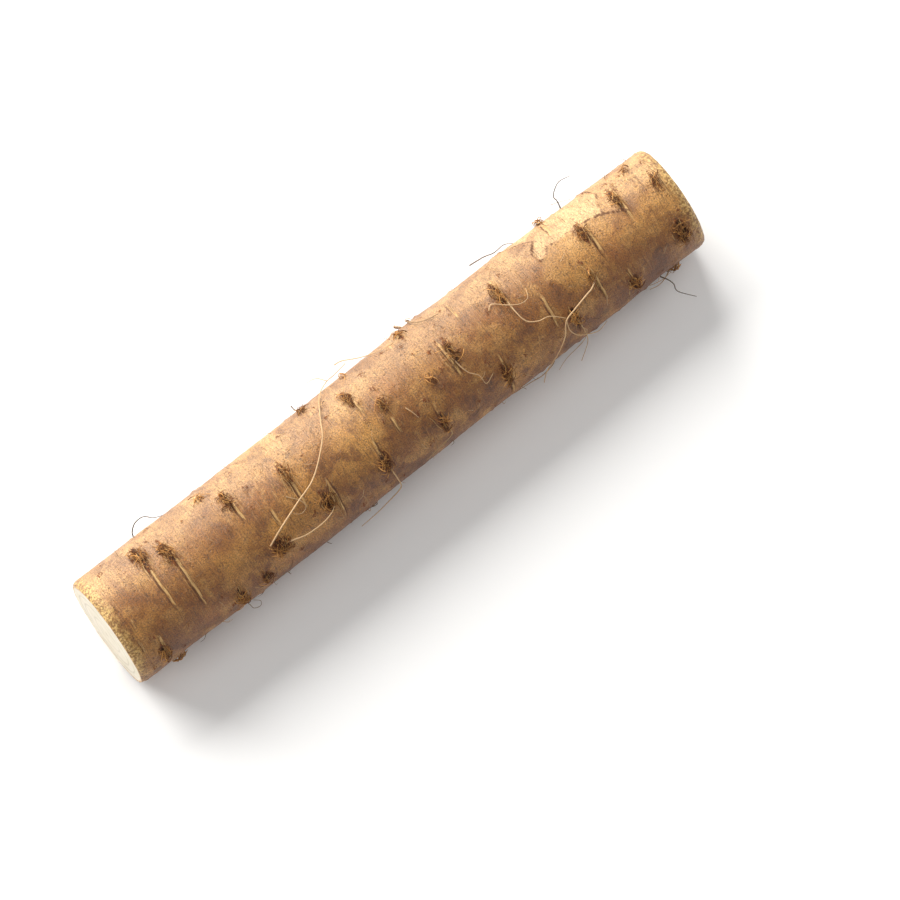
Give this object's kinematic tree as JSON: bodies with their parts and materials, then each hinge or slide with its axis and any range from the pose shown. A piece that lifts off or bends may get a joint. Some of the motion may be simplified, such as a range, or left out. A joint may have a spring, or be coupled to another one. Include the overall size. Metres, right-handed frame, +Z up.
{
  "type": "burdock root",
  "caption": "Cut length of burdock root lying on its side: a thick brown-skinned root with ringed scars, wiry rootlets and pale flesh at both cuts.",
  "frame": {"origin": "middle of the bounding box's underside, on the surface that the root rests on", "axes": "+X along the root from its thick cut to its thin cut, +Y to one side, +Z up"},
  "size_m": [0.1814, 0.031, 0.0302],
  "materials": {
    "root_skin": "matte",
    "cut_flesh": "satin",
    "rootlets": "matte"
  },
  "bodies": {
    "root": {"burdock_root": "root_skin"}
  },
  "joints": []
}
